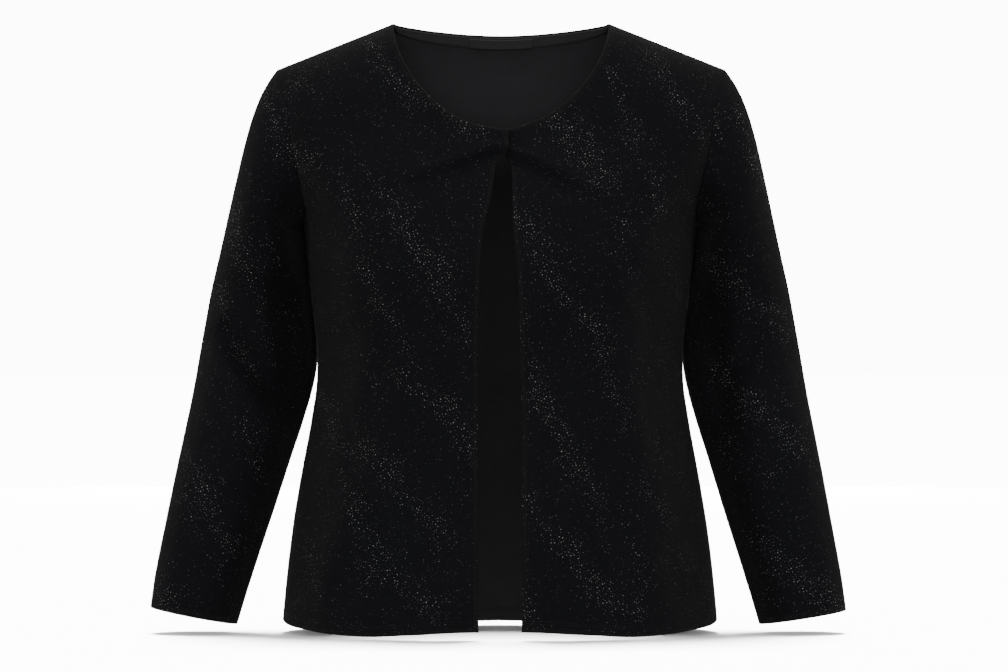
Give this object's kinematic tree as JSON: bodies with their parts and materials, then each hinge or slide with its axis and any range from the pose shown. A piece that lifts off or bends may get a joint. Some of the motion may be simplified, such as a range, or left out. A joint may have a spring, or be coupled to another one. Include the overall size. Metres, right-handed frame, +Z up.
{
  "type": "knitted shrug",
  "caption": "Long-sleeved fine-knit shrug in worn form, round neck hooked at the centre front, fronts open below, for wearing over a dress.",
  "frame": {"origin": "middle of the neck, level with the two high points of the shoulders, between front and back", "axes": "+Z up, -Y towards the front, +X towards the wearer's left"},
  "size_m": [0.6938, 0.256, 0.6058],
  "materials": {
    "knit": "fine black plain knit with a scattered metallic glitter",
    "tape": "black knitted tape",
    "label_satin": "bare black woven satin",
    "hook_enamel": "black enamelled wire"
  },
  "bodies": {
    "root": {"front_right": "knit", "front_left": "knit", "back": "knit", "sleeve_right": "knit", "sleeve_left": "knit", "neck_tape": "tape", "label": "label_satin", "hook": "hook_enamel", "eye": "hook_enamel"}
  },
  "joints": []
}
